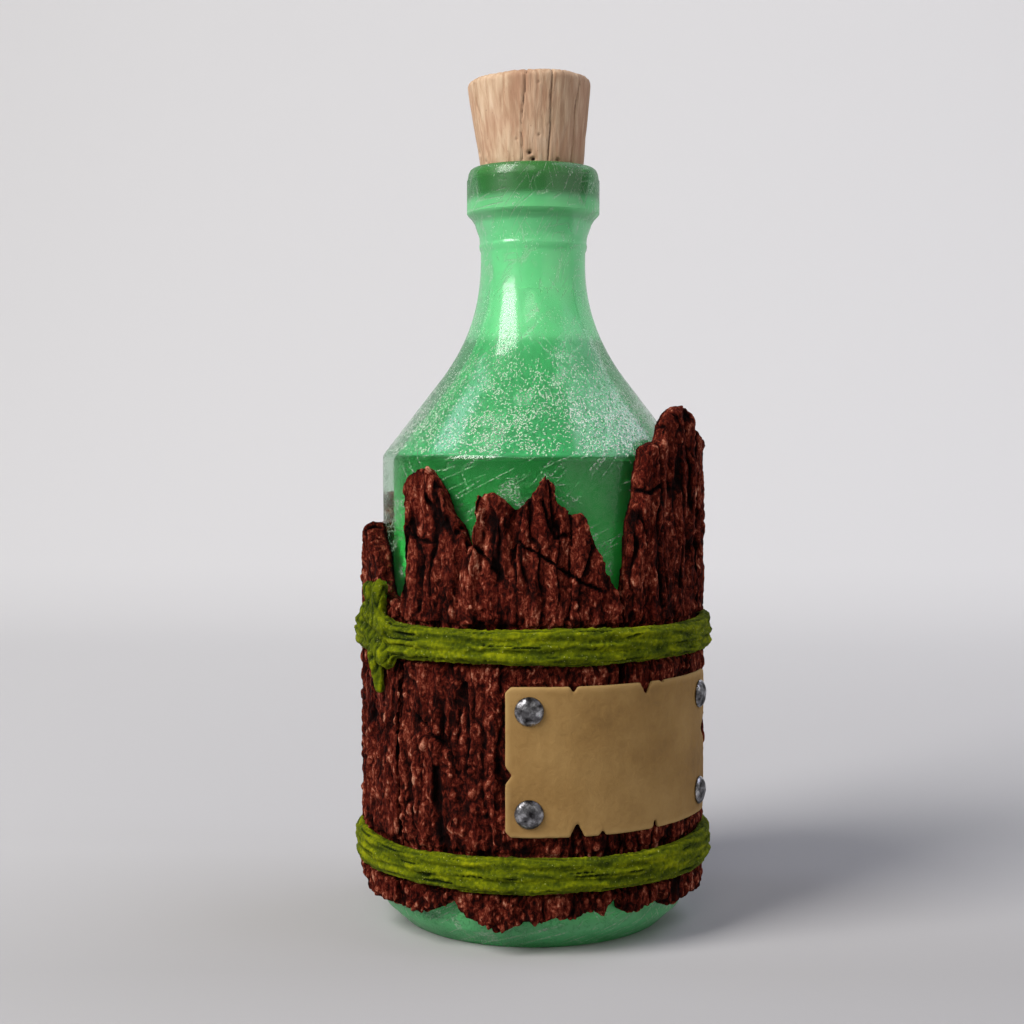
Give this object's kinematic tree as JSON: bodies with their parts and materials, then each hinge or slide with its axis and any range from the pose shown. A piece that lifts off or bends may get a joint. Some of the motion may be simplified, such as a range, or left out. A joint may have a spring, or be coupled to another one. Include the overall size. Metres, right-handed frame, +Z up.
{
  "type": "bottle",
  "caption": "Corked glass bottle wrapped in ragged bark slabs, bound with two vines and carrying a nailed blank parchment label.",
  "frame": {"origin": "centre of the glass base, on the surface that the bottle stands on", "axes": "+Z up along the bottle's axis towards the cork, -Y towards the pictured front"},
  "size_m": [0.0902, 0.0902, 0.2086],
  "materials": {
    "green_glass": "scratched, milky",
    "cork": "raw, grained",
    "bark": "rough, dry",
    "vine": "mossy, rough",
    "parchment": "matte",
    "nail": "hammered, worn"
  },
  "bodies": {
    "bottle": {"glass_bottle": "green_glass", "bark_front": "bark", "bark_left": "bark", "bark_right": "bark", "bark_back_right": "bark", "bark_back_left": "bark", "vine_upper": "vine", "vine_lower": "vine", "parchment_label": "parchment", "label_nails": "nail"},
    "cork": {"cork_stopper": "cork"}
  },
  "joints": [
    {"name": "cork_pull", "type": "slide", "parent": "bottle", "child": "cork", "axis": [0, 0, 1], "range_m": [0, 0.03]}
  ]
}
